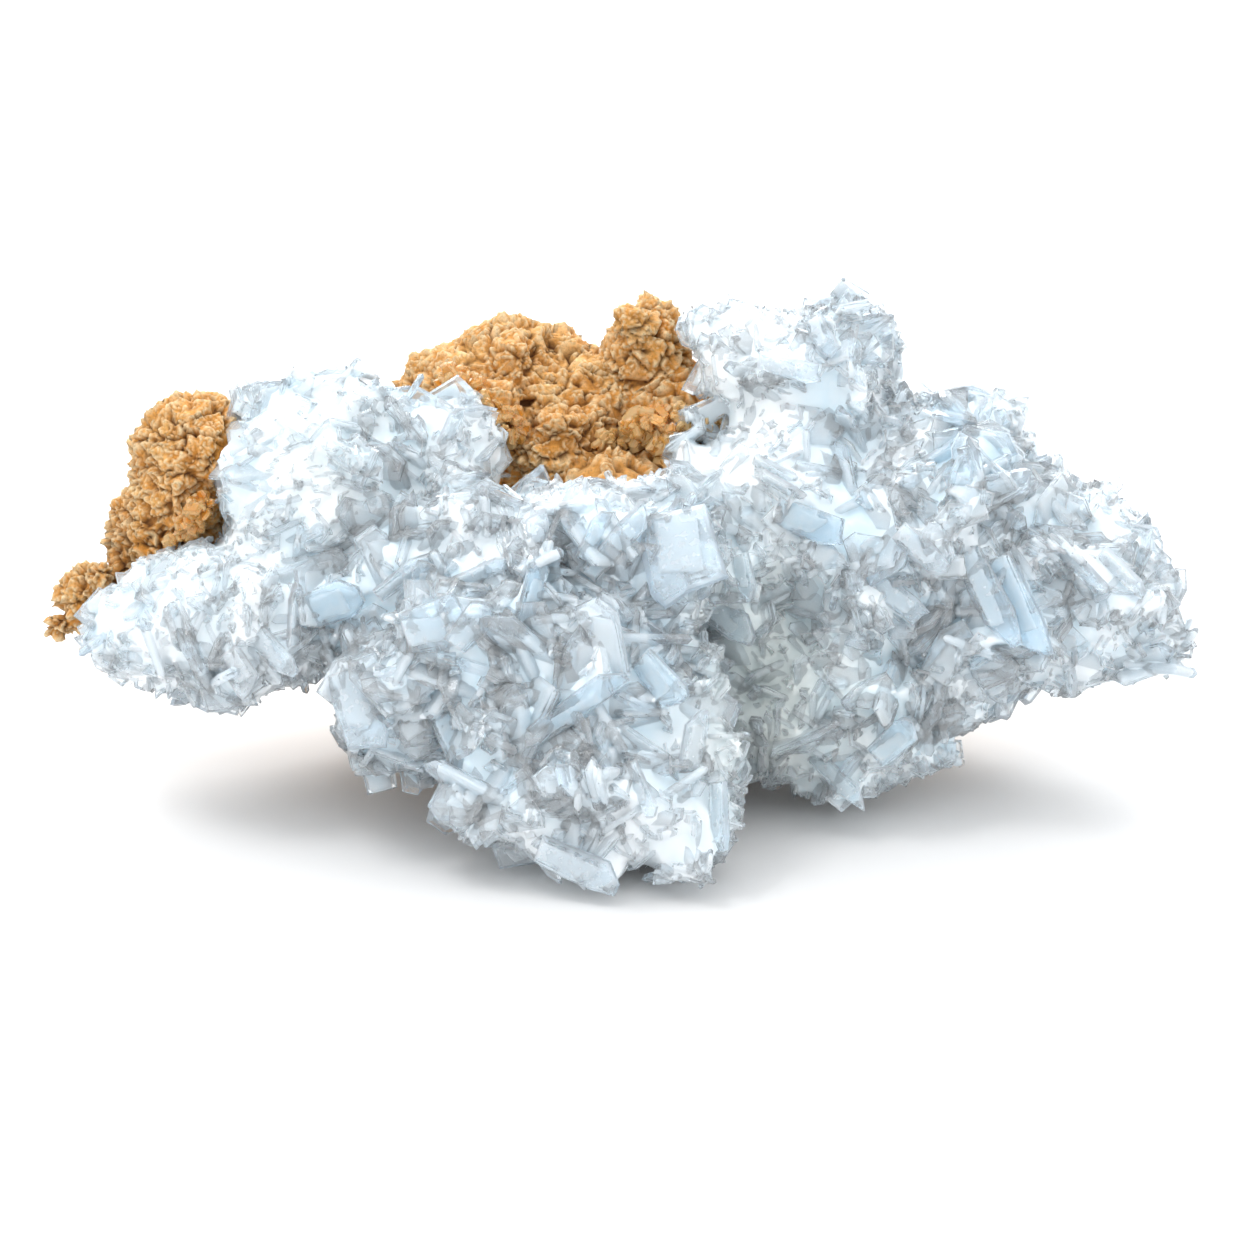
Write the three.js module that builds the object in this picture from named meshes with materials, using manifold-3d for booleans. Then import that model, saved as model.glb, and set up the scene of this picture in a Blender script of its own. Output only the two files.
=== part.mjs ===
// A barite specimen: pale blue tabular crystals grown as one crust over a knob of tan, pitted limestone.
// Iron-stained amber crystals line the seam between the two.
// Millimetres. X runs across the front, Y runs away from the viewer, Z is up, and the feet stand on Z = 0.
import * as THREE from "three";
import { mergeVertices } from "three/addons/utils/BufferGeometryUtils.js";
import Module from "manifold-3d";

const wasm = await Module();
wasm.setup();

// Driving dimensions
const SEAM_GAP = 0.35; // clearance between the crust, the rock and the amber crystals
const FRONT_TILT = THREE.MathUtils.degToRad(20); // the front is laid out as seen from this far above level
const CENTRE_SHIFT = new THREE.Vector3(1.2, -3.95, 0); // brings the middle of the footprint to the origin
const FLOOR_DEPTH = 30; // depth of the block that trims the feet flat
const TABLET_SPREAD = 3.05; // area of crust to each covering tablet, as a share of the tablet's own
const TABLET_RISE = 1.7; // how far the middle of a lying tablet stands out of its lump
const BURIED = 0.93; // no tablet grows deeper than this share of the radius inside another lump
const ROCK_MARGIN = 1.04; // nor closer to a rock lump than this share of its radius
const UNDERSIDE = -0.8; // nor where the skin faces down more than this, as the height of its normal
const FIN_EVERY = 3; // every third tablet stands up as a fin

// How far the skin of a lump wanders in and out, as shares of its radius
const ROCK_RELIEF = { swell: 0.16, jag: 0.09 };
const CRUST_RELIEF = { swell: 0.1, jag: 0.1 };
const GOLDEN_ANGLE = Math.PI * (3 - Math.sqrt(5));

// Axes of the front view: across is X, up lies in the picture, and out points at the viewer.
const ACROSS = new THREE.Vector3(1, 0, 0);
const UP = new THREE.Vector3(0, Math.sin(FRONT_TILT), Math.cos(FRONT_TILT));
const OUT = new THREE.Vector3(0, -Math.cos(FRONT_TILT), Math.sin(FRONT_TILT));
const FRONT_AXES = new THREE.Matrix4().makeBasis(ACROSS, UP, OUT);
const FRONT_BASIS = new THREE.Quaternion().setFromRotationMatrix(FRONT_AXES);

// Random numbers and noise

function randomFrom(seed) {
  let state = seed >>> 0;
  return () => {
    state = (state + 0x6d2b79f5) >>> 0;
    let mixed = Math.imul(state ^ (state >>> 15), state | 1);
    mixed ^= mixed + Math.imul(mixed ^ (mixed >>> 7), mixed | 61);
    return ((mixed ^ (mixed >>> 14)) >>> 0) / 4294967296;
  };
}

function latticeValue(x, y, z) {
  const mixed = Math.sin(x * 127.1 + y * 311.7 + z * 74.7) * 43758.5453;
  return mixed - Math.floor(mixed);
}

// Smooth value noise from -1 to 1.
function noise(point) {
  const cell = point.clone().floor();
  const [u, v, w] = point.clone().sub(cell).toArray().map((t) => t * t * (3 - 2 * t));
  const corner = (i, j, k) => latticeValue(cell.x + i, cell.y + j, cell.z + k);
  const mix = THREE.MathUtils.lerp;
  const edge = (j, k) => mix(corner(0, j, k), corner(1, j, k), u);
  return 2 * mix(mix(edge(0, 0), edge(1, 0), v), mix(edge(0, 1), edge(1, 1), v), w) - 1;
}

// Lumps: the masses that the rock and the crust are built up from

// at and radii are mm. lean tips the top away from the viewer and roll tips it to the right, in degrees.
function lump(at, radii, { lean = 0, roll = 0, detail = 0, blade = [12, 8, 3.8] } = {}) {
  const angles = [-lean, roll, 0].map(THREE.MathUtils.degToRad);
  const turn = new THREE.Quaternion().setFromEuler(new THREE.Euler(...angles, "YXZ"));
  return { at: new THREE.Vector3(...at), radii: new THREE.Vector3(...radii), turn, detail, blade };
}

function isInside(point, { at, radii, turn }, share = 1) {
  const local = point.clone().sub(at).applyQuaternion(turn.clone().invert()).divide(radii);
  return local.length() < share;
}

// A point of a lump's skin and the direction straight out of it, for a direction of the unit ball.
function skinPoint({ at, radii, turn }, direction) {
  return {
    point: direction.clone().multiply(radii).applyQuaternion(turn).add(at),
    outward: direction.clone().divide(radii).normalize().applyQuaternion(turn),
  };
}

function skinArea({ radii: { x, y, z } }) {
  const power = 1.6;
  const mean = ((x * y) ** power + (x * z) ** power + (y * z) ** power) / 3;
  return 4 * Math.PI * mean ** (1 / power);
}

// A ball of flat facets whose corners wander in and out: swell is slow and smooth, jag is each corner's own.
// Flat facets cut inside the skin of the ball, so the corners of a coarse one stand outside it to make up.
function lumpGeometry({ at, radii, turn, detail }, { swell, jag }, growth = 0) {
  const geometry = bareGeometry(new THREE.IcosahedronGeometry(1, detail));
  const position = geometry.getAttribute("position");
  const random = randomFrom(Math.round(1000 + at.x * 31 + at.y * 17 + at.z * 7));
  const corner = new THREE.Vector3();
  for (let i = 0; i < position.count; i++) {
    corner.fromBufferAttribute(position, i).normalize();
    const place = corner.clone().multiply(radii).multiplyScalar(0.14).addScaledVector(at, 0.31);
    const reach = 1 + 0.12 / (1 + detail) ** 2 + swell * noise(place) + jag * (2 * random() - 1);
    const grown = radii.clone().multiplyScalar(reach).addScalar(growth);
    corner.multiply(grown).applyQuaternion(turn).add(at);
    position.setXYZ(i, corner.x, corner.y, corner.z);
  }
  return geometry;
}

// Joining and cutting

// The geometry with only its corners left, each one once.
function bareGeometry(geometry) {
  geometry.deleteAttribute("normal");
  geometry.deleteAttribute("uv");
  return mergeVertices(geometry, 1e-4);
}

function solidFrom(geometry) {
  const bare = bareGeometry(geometry);
  const vertProperties = new Float32Array(bare.getAttribute("position").array);
  const triVerts = new Uint32Array(bare.index.array);
  return new wasm.Manifold(new wasm.Mesh({ numProp: 3, vertProperties, triVerts }));
}

const joined = (solids) => solids.reduce((whole, next) => whole.add(next));

// A cut can leave loose chips: only the largest body is the piece.
function largestBody(solid) {
  return solid.decompose().reduce((best, body) => (body.volume() > best.volume() ? body : best));
}

function geometryFrom(solid) {
  const { numProp, vertProperties, triVerts } = solid.getMesh();
  const points = new Float32Array((vertProperties.length / numProp) * 3);
  for (let i = 0; i < points.length / 3; i++) {
    const start = i * numProp;
    points.set(vertProperties.subarray(start, start + 3), i * 3);
  }
  const geometry = new THREE.BufferGeometry();
  geometry.setAttribute("position", new THREE.BufferAttribute(points, 3));
  geometry.setIndex(new THREE.BufferAttribute(new Uint32Array(triVerts), 1));
  geometry.computeVertexNormals();
  return geometry;
}

const floorBlock = solidFrom(new THREE.BoxGeometry(400, 400, FLOOR_DEPTH).translate(0, 0, -FLOOR_DEPTH / 2));

// The limestone

const ROCK_LUMPS = [
  lump([-15.5, 27, 45.5], [19, 15, 16.5], { detail: 3 }), // the hump in the window of the crust
  lump([8, 25, 49], [11, 11, 10], { detail: 1 }), // its right shoulder
  lump([3.2, 27, 57], [6.8, 6.8, 10], { detail: 1 }), // the knob that stands highest
  lump([-4, 28, 17], [38, 17, 20], { detail: 1 }), // the root, which stands on the floor
  lump([-3, 12.5, 29], [24, 14.5, 19.5], { detail: 1 }), // the apron that carries the front lobe
  lump([34, 25, 25], [26, 12.5, 18]), // the arm behind the right of the crust
  lump([-43, 22, 30], [24, 12, 17]), // the arm behind the left
  lump([-63, 16, 45], [8.6, 10.5, 12.2], { roll: 16, detail: 2 }), // the left shoulder, bare of crystals
  lump([-67.5, 15, 35], [7.6, 8.5, 9], { detail: 1 }),
  lump([-77, 12, 27], [5.4, 5.2, 5.6], { detail: 1 }), // the spongy lobe at the far left
  lump([-71.5, 13, 27], [6.5, 6, 5]),
];

// Nubs that stand out of the rock: where, radius.
const ROCK_NUBS = [
  [[1.2, 23, 65.2], 3],
  [[-19, 16, 54.5], 4.6],
  [[-9, 14.5, 51.5], 4],
  [[9, 16, 51], 3.6],
  [[-81.4, 10, 23.8], 2.3],
  [[-75.5, 8.6, 31.6], 2.6],
  [[-73, 7.8, 23.8], 2.4],
];

// Pits that water has eaten into the rock: where, radius.
const ROCK_PITS = [
  [[-25.5, 14, 48], 3.4],
  [[-16, 11.2, 45.6], 3],
  [[-60, 6.6, 44], 2.6],
  [[-77.4, 6.8, 27.6], 2.2],
  [[-20, 43, 40], 5],
  [[5, 46, 24], 5.4],
];

function roundSolid([at, radius], growth = 0) {
  const round = lump(at, [radius, radius * 0.85, radius * 0.9]);
  return solidFrom(lumpGeometry(round, ROCK_RELIEF, growth));
}

function rockSolid(growth = 0) {
  const masses = ROCK_LUMPS.map((each) => solidFrom(lumpGeometry(each, ROCK_RELIEF, growth)));
  const nubs = ROCK_NUBS.map((nub) => roundSolid(nub, growth));
  return joined([...masses, ...nubs]);
}

// Blades: flat barite tablets

// The blade points along Y and is thin along Z. A plain one ends in one slant, a chiselled one in two.
function bladeGeometry(long, wide, thick, chiselled = false) {
  const outline = new THREE.Shape();
  outline.moveTo(-wide / 2, -long / 2);
  outline.lineTo(wide / 2, -long / 2);
  outline.lineTo(wide / 2, long / 2 - wide * 0.42);
  if (chiselled) outline.lineTo(-wide * 0.1, long / 2);
  outline.lineTo(-wide / 2, long / 2 - (chiselled ? wide * 0.24 : 0));
  outline.closePath();
  const settings = { depth: thick, bevelEnabled: false };
  return new THREE.ExtrudeGeometry(outline, settings).translate(0, 0, -thick / 2);
}

// A blade whose length lies along one direction and whose broad side faces another.
function bladeSolid(centre, along, face, [long, wide, thick], growth = 0) {
  const turn = new THREE.Matrix4().makeBasis(along.clone().cross(face), along, face);
  const geometry = bladeGeometry(long + 2 * growth, wide + 2 * growth, thick + 2 * growth);
  return solidFrom(geometry.applyMatrix4(turn).translate(centre.x, centre.y, centre.z));
}

// The crust

const SUGAR_BLADE = [9, 7, 3.4];
const WING_BLADE = [10.5, 7.5, 3.6];

const CRUST_LUMPS = [
  lump([-54.8, -1, 28.5], [19.5, 10.5, 10.6], { roll: -8, blade: WING_BLADE }), // left wing
  lump([-66.5, -1.5, 26], [8.5, 7.5, 6.5], { blade: SUGAR_BLADE }), // its tip
  lump([-62, 3, 32], [10, 8, 6.5], { blade: SUGAR_BLADE }), // its upper edge
  lump([-42.5, 8, 45], [14, 11, 14.5], { blade: SUGAR_BLADE }), // the sugary left slope
  lump([-46, 13.5, 51.5], [11, 8.5, 8.2], { blade: SUGAR_BLADE }), // left crest
  lump([-28.5, 9, 49], [11, 8, 9], { blade: SUGAR_BLADE }), // the edge below the window's left
  lump([-7.5, -4, 39], [25.5, 9.6, 10.4]), // the rim below the window
  lump([-10, -14, 25.5], [22, 12.5, 14.5]), // front lobe
  lump([-5.4, -23.5, 11.5], [17.5, 12, 12]), // its foot
  lump([6.6, -25, 9.6], [9, 9, 10]), // right corner of the foot
  lump([-27, -11, 20], [13.5, 10, 10], { roll: 20 }), // its left flank
  lump([30.5, -1, 16], [15, 12, 15]), // right lobe
  lump([17, 6, 22], [14, 12, 18.5]), // the hollow between the lobes
  lump([41.5, 2.5, 35.6], [22.5, 12, 17.5]), // right body
  lump([46, 0.5, 23.5], [18, 11, 10], { roll: -25 }), // its underside, rising to the right
  lump([63.5, 4, 28.5], [16.4, 10.4, 11.4], { roll: 6, blade: WING_BLADE }), // right wing
  lump([59, 9, 38], [15, 8.5, 8], { roll: 28, blade: WING_BLADE }), // its upper edge
  lump([45.5, 13, 46], [13, 10, 10.5], { blade: WING_BLADE }), // shoulder below the peak
  lump([25.5, 17, 57.6], [12, 10.5, 12], { roll: 10, blade: WING_BLADE }), // peak
  lump([18, 17, 61], [9, 8.5, 9.8], { blade: WING_BLADE }), // its left corner
  lump([17.5, 5, 41.5], [12.5, 10, 13.5], { blade: WING_BLADE }), // saddle left of the peak
  lump([28, 27, 49], [14, 10, 14], { blade: WING_BLADE }), // back of the peak
  lump([51, 18, 31], [20, 9, 13], { blade: WING_BLADE }), // back of the right body
];

// Large blades of the front, laid out in the front view. across and up are mm from the middle of the base;
// turn is the direction that the blade points (0 right, 90 up), tip brings its end towards the viewer,
// and face turns it about its length (0 shows the broad side, 90 the edge).
const FRONT_BLADES = [
  { across: -12.8, up: 38.8, size: [6.2, 3.4, 2.2], turn: 92, tip: 15, face: 15 },
  { across: -8.2, up: 42.3, size: [9.8, 2.4, 2.2], turn: 10, tip: 6, face: 30 },
  { across: -4.8, up: 38.6, size: [8.0, 2.6, 2.2], turn: 65, tip: 8, face: 25 },
  { across: -1.4, up: 37.5, size: [12.8, 3.7, 2.6], turn: 48, tip: 8, face: 20 },
  { across: 7.8, up: 35.6, size: [13.0, 11.0, 3.6], turn: -80, tip: 20, face: 8 },
  { across: -21.3, up: 33.0, size: [8.8, 2.4, 2.2], turn: 24, tip: 8, face: 30 },
  { across: -31.0, up: 32.8, size: [9.8, 2.8, 2.2], turn: 38, tip: 8, face: 25 },
  { across: -13.8, up: 29.3, size: [11.8, 3.2, 2.6], turn: 75, tip: 6, face: 20 },
  { across: -27.0, up: 25.7, size: [9.6, 7.2, 2.8], turn: 15, tip: 12, face: 10 },
  { across: -22.3, up: 25.6, size: [7.4, 4.6, 2.4], turn: 50, tip: 10, face: 15 },
  { across: 13.8, up: 26.8, size: [10.8, 4.8, 2.4], turn: -38, tip: 16, face: 25 },
  { across: -25.6, up: 53.6, size: [6.4, 3.0, 2.0], turn: 65, tip: 20, face: 45 },
  { across: 47.1, up: 45.3, size: [8.6, 4.0, 2.6], turn: 80, tip: 10, face: 10 },
  { across: 51.5, up: 29.2, size: [15.4, 4.8, 2.8], turn: -64, tip: 4, face: 15 },
  { across: 56.0, up: 28.2, size: [15.6, 4.6, 2.8], turn: -66, tip: 4, face: 28 },
  { across: 63.8, up: 34.2, size: [11.4, 2.8, 2.2], turn: -42, tip: 8, face: 45 },
  { across: 70.0, up: 33.0, size: [8.8, 2.6, 2.2], turn: -46, tip: 8, face: 45 },
  { across: 41.8, up: 36.2, size: [8.8, 3.8, 2.4], turn: -42, tip: 8, face: 10 },
  { across: 23.0, up: 61.8, size: [9.2, 3.4, 2.4], turn: -15, tip: 10, face: 25 },
  { across: 27.7, up: 66.0, size: [6.2, 3.6, 2.4], turn: -62, tip: 12, face: 20 },
  { across: 26.0, up: 40.2, size: [10.6, 4.8, 2.6], turn: -22, tip: 8, face: 10 },
  { across: 21.5, up: 46.5, size: [7.2, 2.8, 2.0], turn: -28, tip: 10, face: 55 },
  { across: -54.6, up: 20.0, size: [7.2, 4.6, 2.2], turn: -60, tip: 12, face: 25 },
  { across: -49.5, up: 22.0, size: [8.4, 3.8, 2.2], turn: -50, tip: 12, face: 20 },
  { across: -42.1, up: 28.7, size: [8.8, 6.0, 2.6], turn: 20, tip: 8, face: 10 },
  { across: -36.8, up: 14.6, size: [11.8, 6.3, 2.8], turn: -72, tip: 10, face: 8 },
  { across: -21.5, up: 7.6, size: [11.4, 4.0, 2.6], turn: -62, tip: 8, face: 10 },
  { across: -7.3, up: 14.2, size: [14.8, 3.9, 2.8], turn: 36, tip: 8, face: 15 },
  { across: 8.4, up: 9.3, size: [9.4, 3.6, 2.4], turn: 78, tip: 6, face: 20 },
  { across: -6.2, up: -7.4, size: [12.4, 5.0, 2.6], turn: -24, tip: 6, face: 25 },
  { across: 30.1, up: 3.6, size: [10.8, 3.2, 2.4], turn: -45, tip: 14, face: 20 },
  { across: 37.7, up: 9.6, size: [7.6, 4.5, 2.6], turn: 42, tip: 8, face: 15 },
  { across: 4.6, up: 17.9, size: [8.2, 4.8, 2.4], turn: -50, tip: 10, face: 25 },
];

// Where a line straight into the front view first meets one of the lumps.
function frontSkin(lumps, across, up) {
  const origin = ACROSS.clone().multiplyScalar(across).addScaledVector(UP, up);
  let nearest = -Infinity;
  for (const { at, radii, turn } of lumps) {
    const back = turn.clone().invert();
    const start = origin.clone().sub(at).applyQuaternion(back).divide(radii);
    const ray = OUT.clone().applyQuaternion(back).divide(radii);
    const [a, b, c] = [ray.dot(ray), start.dot(ray), start.dot(start) - 1];
    const inside = b * b - a * c;
    if (inside > 0) nearest = Math.max(nearest, (-b + Math.sqrt(inside)) / a);
  }
  if (nearest === -Infinity) throw new Error(`nothing to grow on at ${across}, ${up}`);
  return origin.addScaledVector(OUT, nearest);
}

function frontBlade({ across, up, size, turn, tip, face }) {
  const skin = frontSkin(CRUST_LUMPS, across, up);
  const [turned, tipped, faced] = [turn - 90, tip, face].map(THREE.MathUtils.degToRad);
  const pose = FRONT_BASIS.clone()
    .multiply(new THREE.Quaternion().setFromAxisAngle(new THREE.Vector3(0, 0, 1), turned))
    .multiply(new THREE.Quaternion().setFromAxisAngle(new THREE.Vector3(1, 0, 0), tipped))
    .multiply(new THREE.Quaternion().setFromAxisAngle(new THREE.Vector3(0, 1, 0), faced));
  const [, wide, thick] = size;
  skin.addScaledVector(OUT, thick * 0.25 + wide * 0.25 * Math.sin(faced));
  const place = new THREE.Matrix4().compose(skin, pose, new THREE.Vector3(1, 1, 1));
  return solidFrom(bladeGeometry(...size, true).applyMatrix4(place));
}

// Tablets that cover a lump, spread evenly by a golden-angle spiral. Most lie in its skin with one edge
// raised, and the others stand up as fins.
function coveringBlades() {
  const blades = [];
  CRUST_LUMPS.forEach((each, index) => {
    const random = randomFrom(41 + index * 17);
    const [long, wide, thick] = each.blade;
    const count = Math.round(skinArea(each) / (long * wide * TABLET_SPREAD));
    for (let k = 0; k < count; k++) {
      const height = 1 - (2 * (k + 0.5)) / count;
      const around = k * GOLDEN_ANGLE + random() * 0.5;
      const level = Math.sqrt(1 - height * height);
      const direction = new THREE.Vector3(level * Math.cos(around), level * Math.sin(around), height);
      const { point, outward } = skinPoint(each, direction);
      const [heading, tilt, scale] = [random() * 2 * Math.PI, 0.25 + 0.5 * random(), 0.8 + 0.45 * random()];
      const buried = CRUST_LUMPS.some((other) => other !== each && isInside(point, other, BURIED));
      const inRock = ROCK_LUMPS.some((rock) => isInside(point, rock, ROCK_MARGIN));
      if (buried || inRock || outward.z < UNDERSIDE) continue;
      const side = new THREE.Vector3(0, 0, 1).cross(outward).normalize();
      const flat = side.clone().multiplyScalar(Math.cos(heading));
      flat.addScaledVector(outward.clone().cross(side), Math.sin(heading));
      const fin = k % FIN_EVERY === FIN_EVERY - 1;
      const along = flat.clone().addScaledVector(outward, fin ? 0.6 : tilt).normalize();
      const broad = outward.clone().cross(along).normalize();
      const face = fin ? broad : along.clone().cross(broad);
      const lying = [long * scale, wide * scale, thick * scale];
      const size = fin ? [long * scale, wide * 0.9, thick * 0.6] : lying;
      const depth = fin ? 0 : size[2] / 2 - TABLET_RISE;
      blades.push(bladeSolid(point.addScaledVector(outward, -depth), along, face, size));
    }
  });
  return blades;
}

function crustSolid() {
  const masses = CRUST_LUMPS.map((each) => solidFrom(lumpGeometry(each, CRUST_RELIEF)));
  return joined([...masses, ...FRONT_BLADES.map(frontBlade), ...coveringBlades()]);
}

// Amber crystals: small stained crystals in the seam, each given by its place in the front view and length

const AMBER_SETS = {
  amber_crystals_front: [
    [-3.6, 51.8, 4.4],
    [-1.0, 53.1, 4.8],
    [1.6, 54.1, 5.2],
    [4.4, 55.0, 5.4],
    [7.2, 55.2, 5.4],
    [10.0, 54.7, 5.0],
    [12.6, 54.4, 4.6],
    [5.6, 52.0, 5.4],
    [7.0, 49.2, 5.6],
    [5.8, 46.6, 5.2],
  ],
  amber_crystals_slope: [
    [-24.6, 60.8, 5.2],
    [-22.6, 59.2, 5.8],
    [-20.6, 57.6, 6.0],
    [-18.6, 55.8, 6.0],
    [-16.8, 53.8, 5.6],
  ],
  amber_crystals_left: [
    [-64.0, 38.4, 4.2],
    [-62.4, 40.2, 4.6],
    [-60.6, 42.2, 4.6],
  ],
};
const AMBER_RISE = 0.2; // how far a stained crystal stands out of the rock, as a share of its length

function amberSolid(grains, growth, seed) {
  const random = randomFrom(seed);
  return joined(
    grains.map(([across, up, long]) => {
      const centre = frontSkin(ROCK_LUMPS, across, up).addScaledVector(OUT, long * AMBER_RISE);
      const along = new THREE.Vector3(random() - 0.5, -0.4 - random() * 0.5, 0.3 + random() * 0.6);
      along.normalize();
      const face = new THREE.Vector3(random() - 0.5, random() - 0.5, 1).cross(along).normalize();
      return bladeSolid(centre, along, face, [long, long * 0.66, long * 0.5], growth);
    }),
  );
}

// Assembly

const MATERIALS = {
  limestone: new THREE.MeshStandardMaterial({ color: 0xc89a5e, roughness: 0.95, metalness: 0 }),
  barite: new THREE.MeshStandardMaterial({ color: 0xbfd6e2, roughness: 0.18, metalness: 0 }),
  amber: new THREE.MeshStandardMaterial({ color: 0xc9771f, roughness: 0.15, metalness: 0 }),
};

function piece(name, solid, material) {
  const mesh = new THREE.Mesh(geometryFrom(largestBody(solid)), material);
  mesh.name = name;
  return mesh;
}

const pits = joined(ROCK_PITS.map((pit) => roundSolid(pit)));
const rock = rockSolid().subtract(pits).subtract(floorBlock);
const rockRoom = rockSolid(SEAM_GAP);

const specimen = new THREE.Group();
specimen.add(piece("limestone_matrix", rock, MATERIALS.limestone));

let crust = crustSolid().subtract(floorBlock).subtract(rockRoom);
Object.entries(AMBER_SETS).forEach(([name, grains], index) => {
  const seed = 7 + index;
  specimen.add(piece(name, amberSolid(grains, 0, seed).subtract(rockRoom), MATERIALS.amber));
  crust = crust.subtract(amberSolid(grains, SEAM_GAP, seed));
});
specimen.add(piece("barite_crust", crust, MATERIALS.barite));
specimen.position.copy(CENTRE_SHIFT);

export default specimen;
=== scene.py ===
"""A barite specimen: pale blue tabular crystals on tan, pitted limestone, with iron-stained crystals in the seam.

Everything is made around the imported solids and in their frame: metres, +X right, +Y away from the viewer, +Z up.
Sizes are written in millimetres and turned to metres where a mesh is made.
"""
import math

import bpy
import numpy as np
from mathutils import Matrix, Vector, noise
from mathutils.bvhtree import BVHTree
from mathutils.kdtree import KDTree


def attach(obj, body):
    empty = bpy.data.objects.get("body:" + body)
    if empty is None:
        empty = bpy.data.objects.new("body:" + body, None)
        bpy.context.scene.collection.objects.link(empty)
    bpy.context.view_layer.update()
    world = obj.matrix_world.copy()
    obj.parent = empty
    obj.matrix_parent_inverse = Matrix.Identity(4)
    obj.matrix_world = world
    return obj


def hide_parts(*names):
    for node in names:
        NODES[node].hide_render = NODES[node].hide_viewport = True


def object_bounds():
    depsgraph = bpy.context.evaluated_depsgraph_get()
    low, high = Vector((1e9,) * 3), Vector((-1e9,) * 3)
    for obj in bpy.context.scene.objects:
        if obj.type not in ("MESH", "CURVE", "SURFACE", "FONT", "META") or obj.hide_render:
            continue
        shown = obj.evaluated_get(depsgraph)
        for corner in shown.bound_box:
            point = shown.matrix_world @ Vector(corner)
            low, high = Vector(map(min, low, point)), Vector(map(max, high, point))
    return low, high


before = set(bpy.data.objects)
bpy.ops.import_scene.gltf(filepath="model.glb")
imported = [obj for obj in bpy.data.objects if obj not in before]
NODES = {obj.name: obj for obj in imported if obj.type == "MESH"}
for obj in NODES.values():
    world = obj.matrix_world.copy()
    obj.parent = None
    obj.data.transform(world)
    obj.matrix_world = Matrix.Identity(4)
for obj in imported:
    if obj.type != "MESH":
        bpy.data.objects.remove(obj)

CAD_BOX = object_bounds()
MM = 0.001
SEED = 20
SKIN_VOXEL = 0.42
ROOTED = 0.52  # the share of a crystal's length that is grown into the crust
GROOVES = 2.0  # grooves between the masses up to twice this wide are grown over
CORE_TRIANGLES = 190000
ROCK_TRIANGLES = 190000
ROCK_VOXEL = 0.4
PATCH = 9.0  # the crust changes between fine and bladed over this length
SPONGY_FROM = -69  # left of this the limestone is a sponge
SMALL_PARTS = 4  # pieces that the small crystals are spread over, left to right

# The picture: where the camera stands, and the front view that places of single crystals are given in
VIEW_TILT = math.radians(20)  # the camera looks down by this much
DISTANCE = 700 * MM
PICTURE_SIDE = 1254  # pixels
PIXEL = 0.1422 * MM  # what one pixel covers at the target
TARGET = Vector((1.1, -3.95, 27.0)) * MM
FRONT_ORIGIN = Vector((1.2, -3.95, 0)) * MM  # across and up are measured from here
ACROSS = Vector((1, 0, 0))
UP = Vector((0, math.sin(VIEW_TILT), math.cos(VIEW_TILT)))
OUT = Vector((0, -math.cos(VIEW_TILT), math.sin(VIEW_TILT)))
EYE = TARGET + OUT * DISTANCE


# Meshes

def unit(vectors):
    return vectors / np.maximum(np.linalg.norm(vectors, axis=-1, keepdims=True), 1e-9)


def mesh_from_arrays(name, points, corners, face_sizes):
    """A mesh from corner points in millimetres, the corner list of all faces in a row, and the size of each face."""
    mesh = bpy.data.meshes.new(name)
    mesh.vertices.add(len(points))
    mesh.vertices.foreach_set("co", (points * MM).astype(np.float32).ravel())
    mesh.loops.add(len(corners))
    mesh.loops.foreach_set("vertex_index", corners.astype(np.int32))
    mesh.polygons.add(len(face_sizes))
    starts = np.concatenate([[0], np.cumsum(face_sizes)[:-1]])
    mesh.polygons.foreach_set("loop_start", starts.astype(np.int32))
    mesh.update(calc_edges=True)
    mesh.shade_flat()
    return mesh


def placed(name, mesh, material):
    piece = bpy.data.objects.new(name, mesh)
    bpy.context.scene.collection.objects.link(piece)
    piece.data.materials.clear()
    piece.data.materials.append(material)
    return piece


def corner_array(mesh):
    points = np.zeros(len(mesh.vertices) * 3, np.float32)
    mesh.vertices.foreach_get("co", points)
    return points.reshape(-1, 3).astype(float) / MM


def set_corners(mesh, points):
    mesh.vertices.foreach_set("co", (points * MM).astype(np.float32).ravel())
    mesh.update()


def corner_normals(mesh):
    normals = np.zeros(len(mesh.vertices) * 3, np.float32)
    mesh.vertices.foreach_get("normal", normals)
    return normals.reshape(-1, 3).astype(float)


def store(mesh, name, kind, values):
    """Keeps one value for each corner: kind is FLOAT, FLOAT_VECTOR or FLOAT_COLOR."""
    field = {"FLOAT": "value", "FLOAT_VECTOR": "vector", "FLOAT_COLOR": "color"}[kind]
    attribute = mesh.attributes.new(name, kind, "POINT")
    attribute.data.foreach_set(field, np.asarray(values, np.float32).ravel())


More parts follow.
